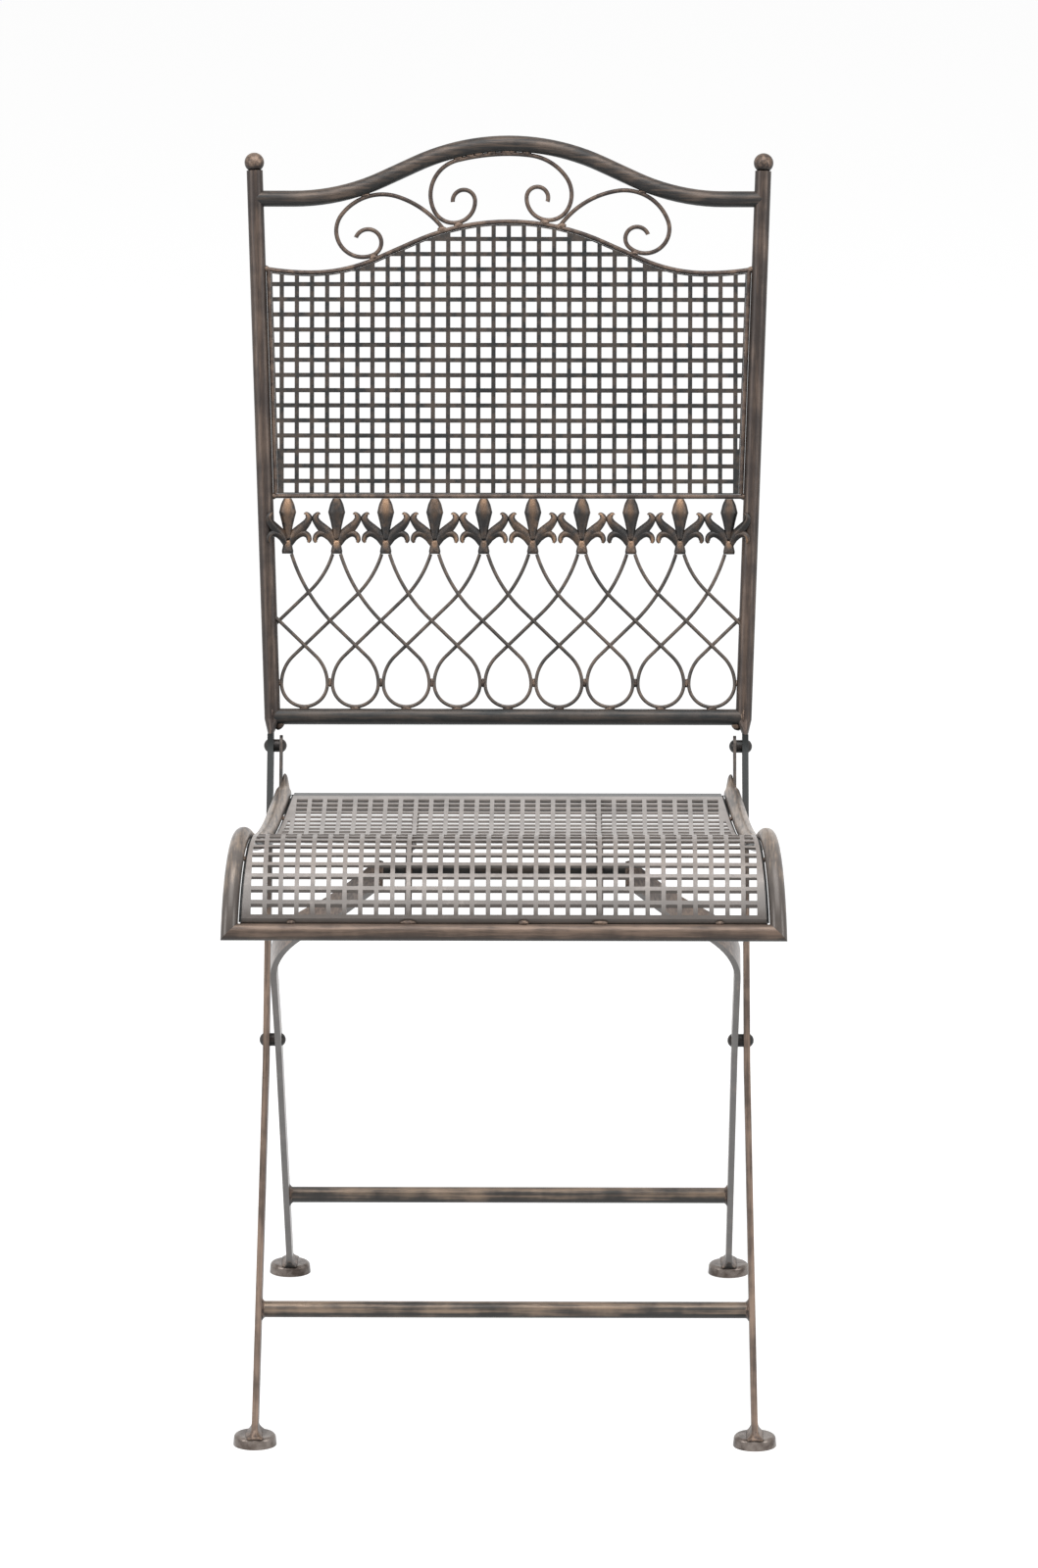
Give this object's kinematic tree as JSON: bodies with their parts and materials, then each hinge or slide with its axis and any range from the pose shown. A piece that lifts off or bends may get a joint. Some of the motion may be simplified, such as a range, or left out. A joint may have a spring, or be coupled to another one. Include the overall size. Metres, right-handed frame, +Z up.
{
  "type": "folding garden chair",
  "caption": "Folding garden chair without arms, in steel tube and flat bar, with a rolled punched seat and a back of punched sheet, scrolls, fleur castings and looped wire.",
  "frame": {"origin": "on the ground, under the middle of the whole chair as it stands open", "axes": "+Z up, the sitter faces -Y, +X to the right as seen from the front"},
  "size_m": [0.3994, 0.5357, 0.8941],
  "materials": {
    "frame_bronze": "satin dark bronze paint, rubbed to copper and tan on the raised faces",
    "sheet_bronze": "satin dark bronze paint with a taupe bloom",
    "casting_bronze": "dark bronze paint, rubbed bright on ridges",
    "pivot_bronze": "satin dark bronze paint"
  },
  "bodies": {
    "back_frame": {"front_leg_left": "frame_bronze", "front_leg_right": "frame_bronze", "front_rung": "frame_bronze", "front_foot_left": "frame_bronze", "front_foot_right": "frame_bronze", "back_post_left": "frame_bronze", "back_post_right": "frame_bronze", "finial_left": "frame_bronze", "finial_right": "frame_bronze", "top_rail": "frame_bronze", "back_bottom_rail": "frame_bronze", "sheet_arch_wire": "frame_bronze", "sheet_bottom_wire": "frame_bronze", "sheet_side_wire_left": "frame_bronze", "sheet_side_wire_right": "frame_bronze", "back_sheet": "sheet_bronze", "scroll_inner_left": "frame_bronze", "scroll_inner_right": "frame_bronze", "scroll_outer_left": "frame_bronze", "scroll_outer_right": "frame_bronze", "fleur_casting_1": "casting_bronze", "fleur_casting_2": "casting_bronze", "fleur_casting_3": "casting_bronze", "fleur_casting_4": "casting_bronze", "fleur_casting_5": "casting_bronze", "fleur_casting_6": "casting_bronze", "fleur_casting_7": "casting_bronze", "fleur_casting_8": "casting_bronze", "fleur_casting_9": "casting_bronze", "fleur_casting_10": "casting_bronze", "lattice_loop_1": "frame_bronze", "lattice_loop_2": "frame_bronze", "lattice_loop_3": "frame_bronze", "lattice_loop_4": "frame_bronze", "lattice_loop_5": "frame_bronze", "lattice_loop_6": "frame_bronze", "lattice_loop_7": "frame_bronze", "lattice_loop_8": "frame_bronze", "lattice_loop_9": "frame_bronze", "lattice_end_left": "frame_bronze", "lattice_end_right": "frame_bronze", "seat_pivot_rivets": "pivot_bronze", "leg_pivot_rivets": "pivot_bronze", "pivot_spacers": "pivot_bronze"},
    "rear_legs": {"rear_leg_left": "frame_bronze", "rear_leg_right": "frame_bronze", "seat_bearer": "frame_bronze", "rear_rung": "frame_bronze", "rear_foot_left": "frame_bronze", "rear_foot_right": "frame_bronze"},
    "seat": {"seat_front_tube": "frame_bronze", "seat_side_tube_left": "frame_bronze", "seat_side_tube_right": "frame_bronze", "seat_rear_tube": "frame_bronze", "seat_sheet": "sheet_bronze", "seat_border_wires": "frame_bronze", "seat_rod_left": "frame_bronze", "seat_rod_right": "frame_bronze", "hanger_left": "frame_bronze", "hanger_right": "frame_bronze"}
  },
  "joints": [
    {"name": "seat_fold", "type": "hinge", "parent": "back_frame", "child": "seat", "pos_m": [0, 0.11316, 0.45], "axis": [-1, 0, 0], "range_deg": [0, 93]},
    {"name": "leg_fold", "type": "hinge", "parent": "back_frame", "child": "rear_legs", "pos_m": [0, -0.01499, 0.258], "axis": [-1, 0, 0], "range_deg": [0, 68]}
  ],
  "couplings": [
    {"joint": "leg_fold", "follows": "seat_fold", "ratio": 0.719}
  ]
}
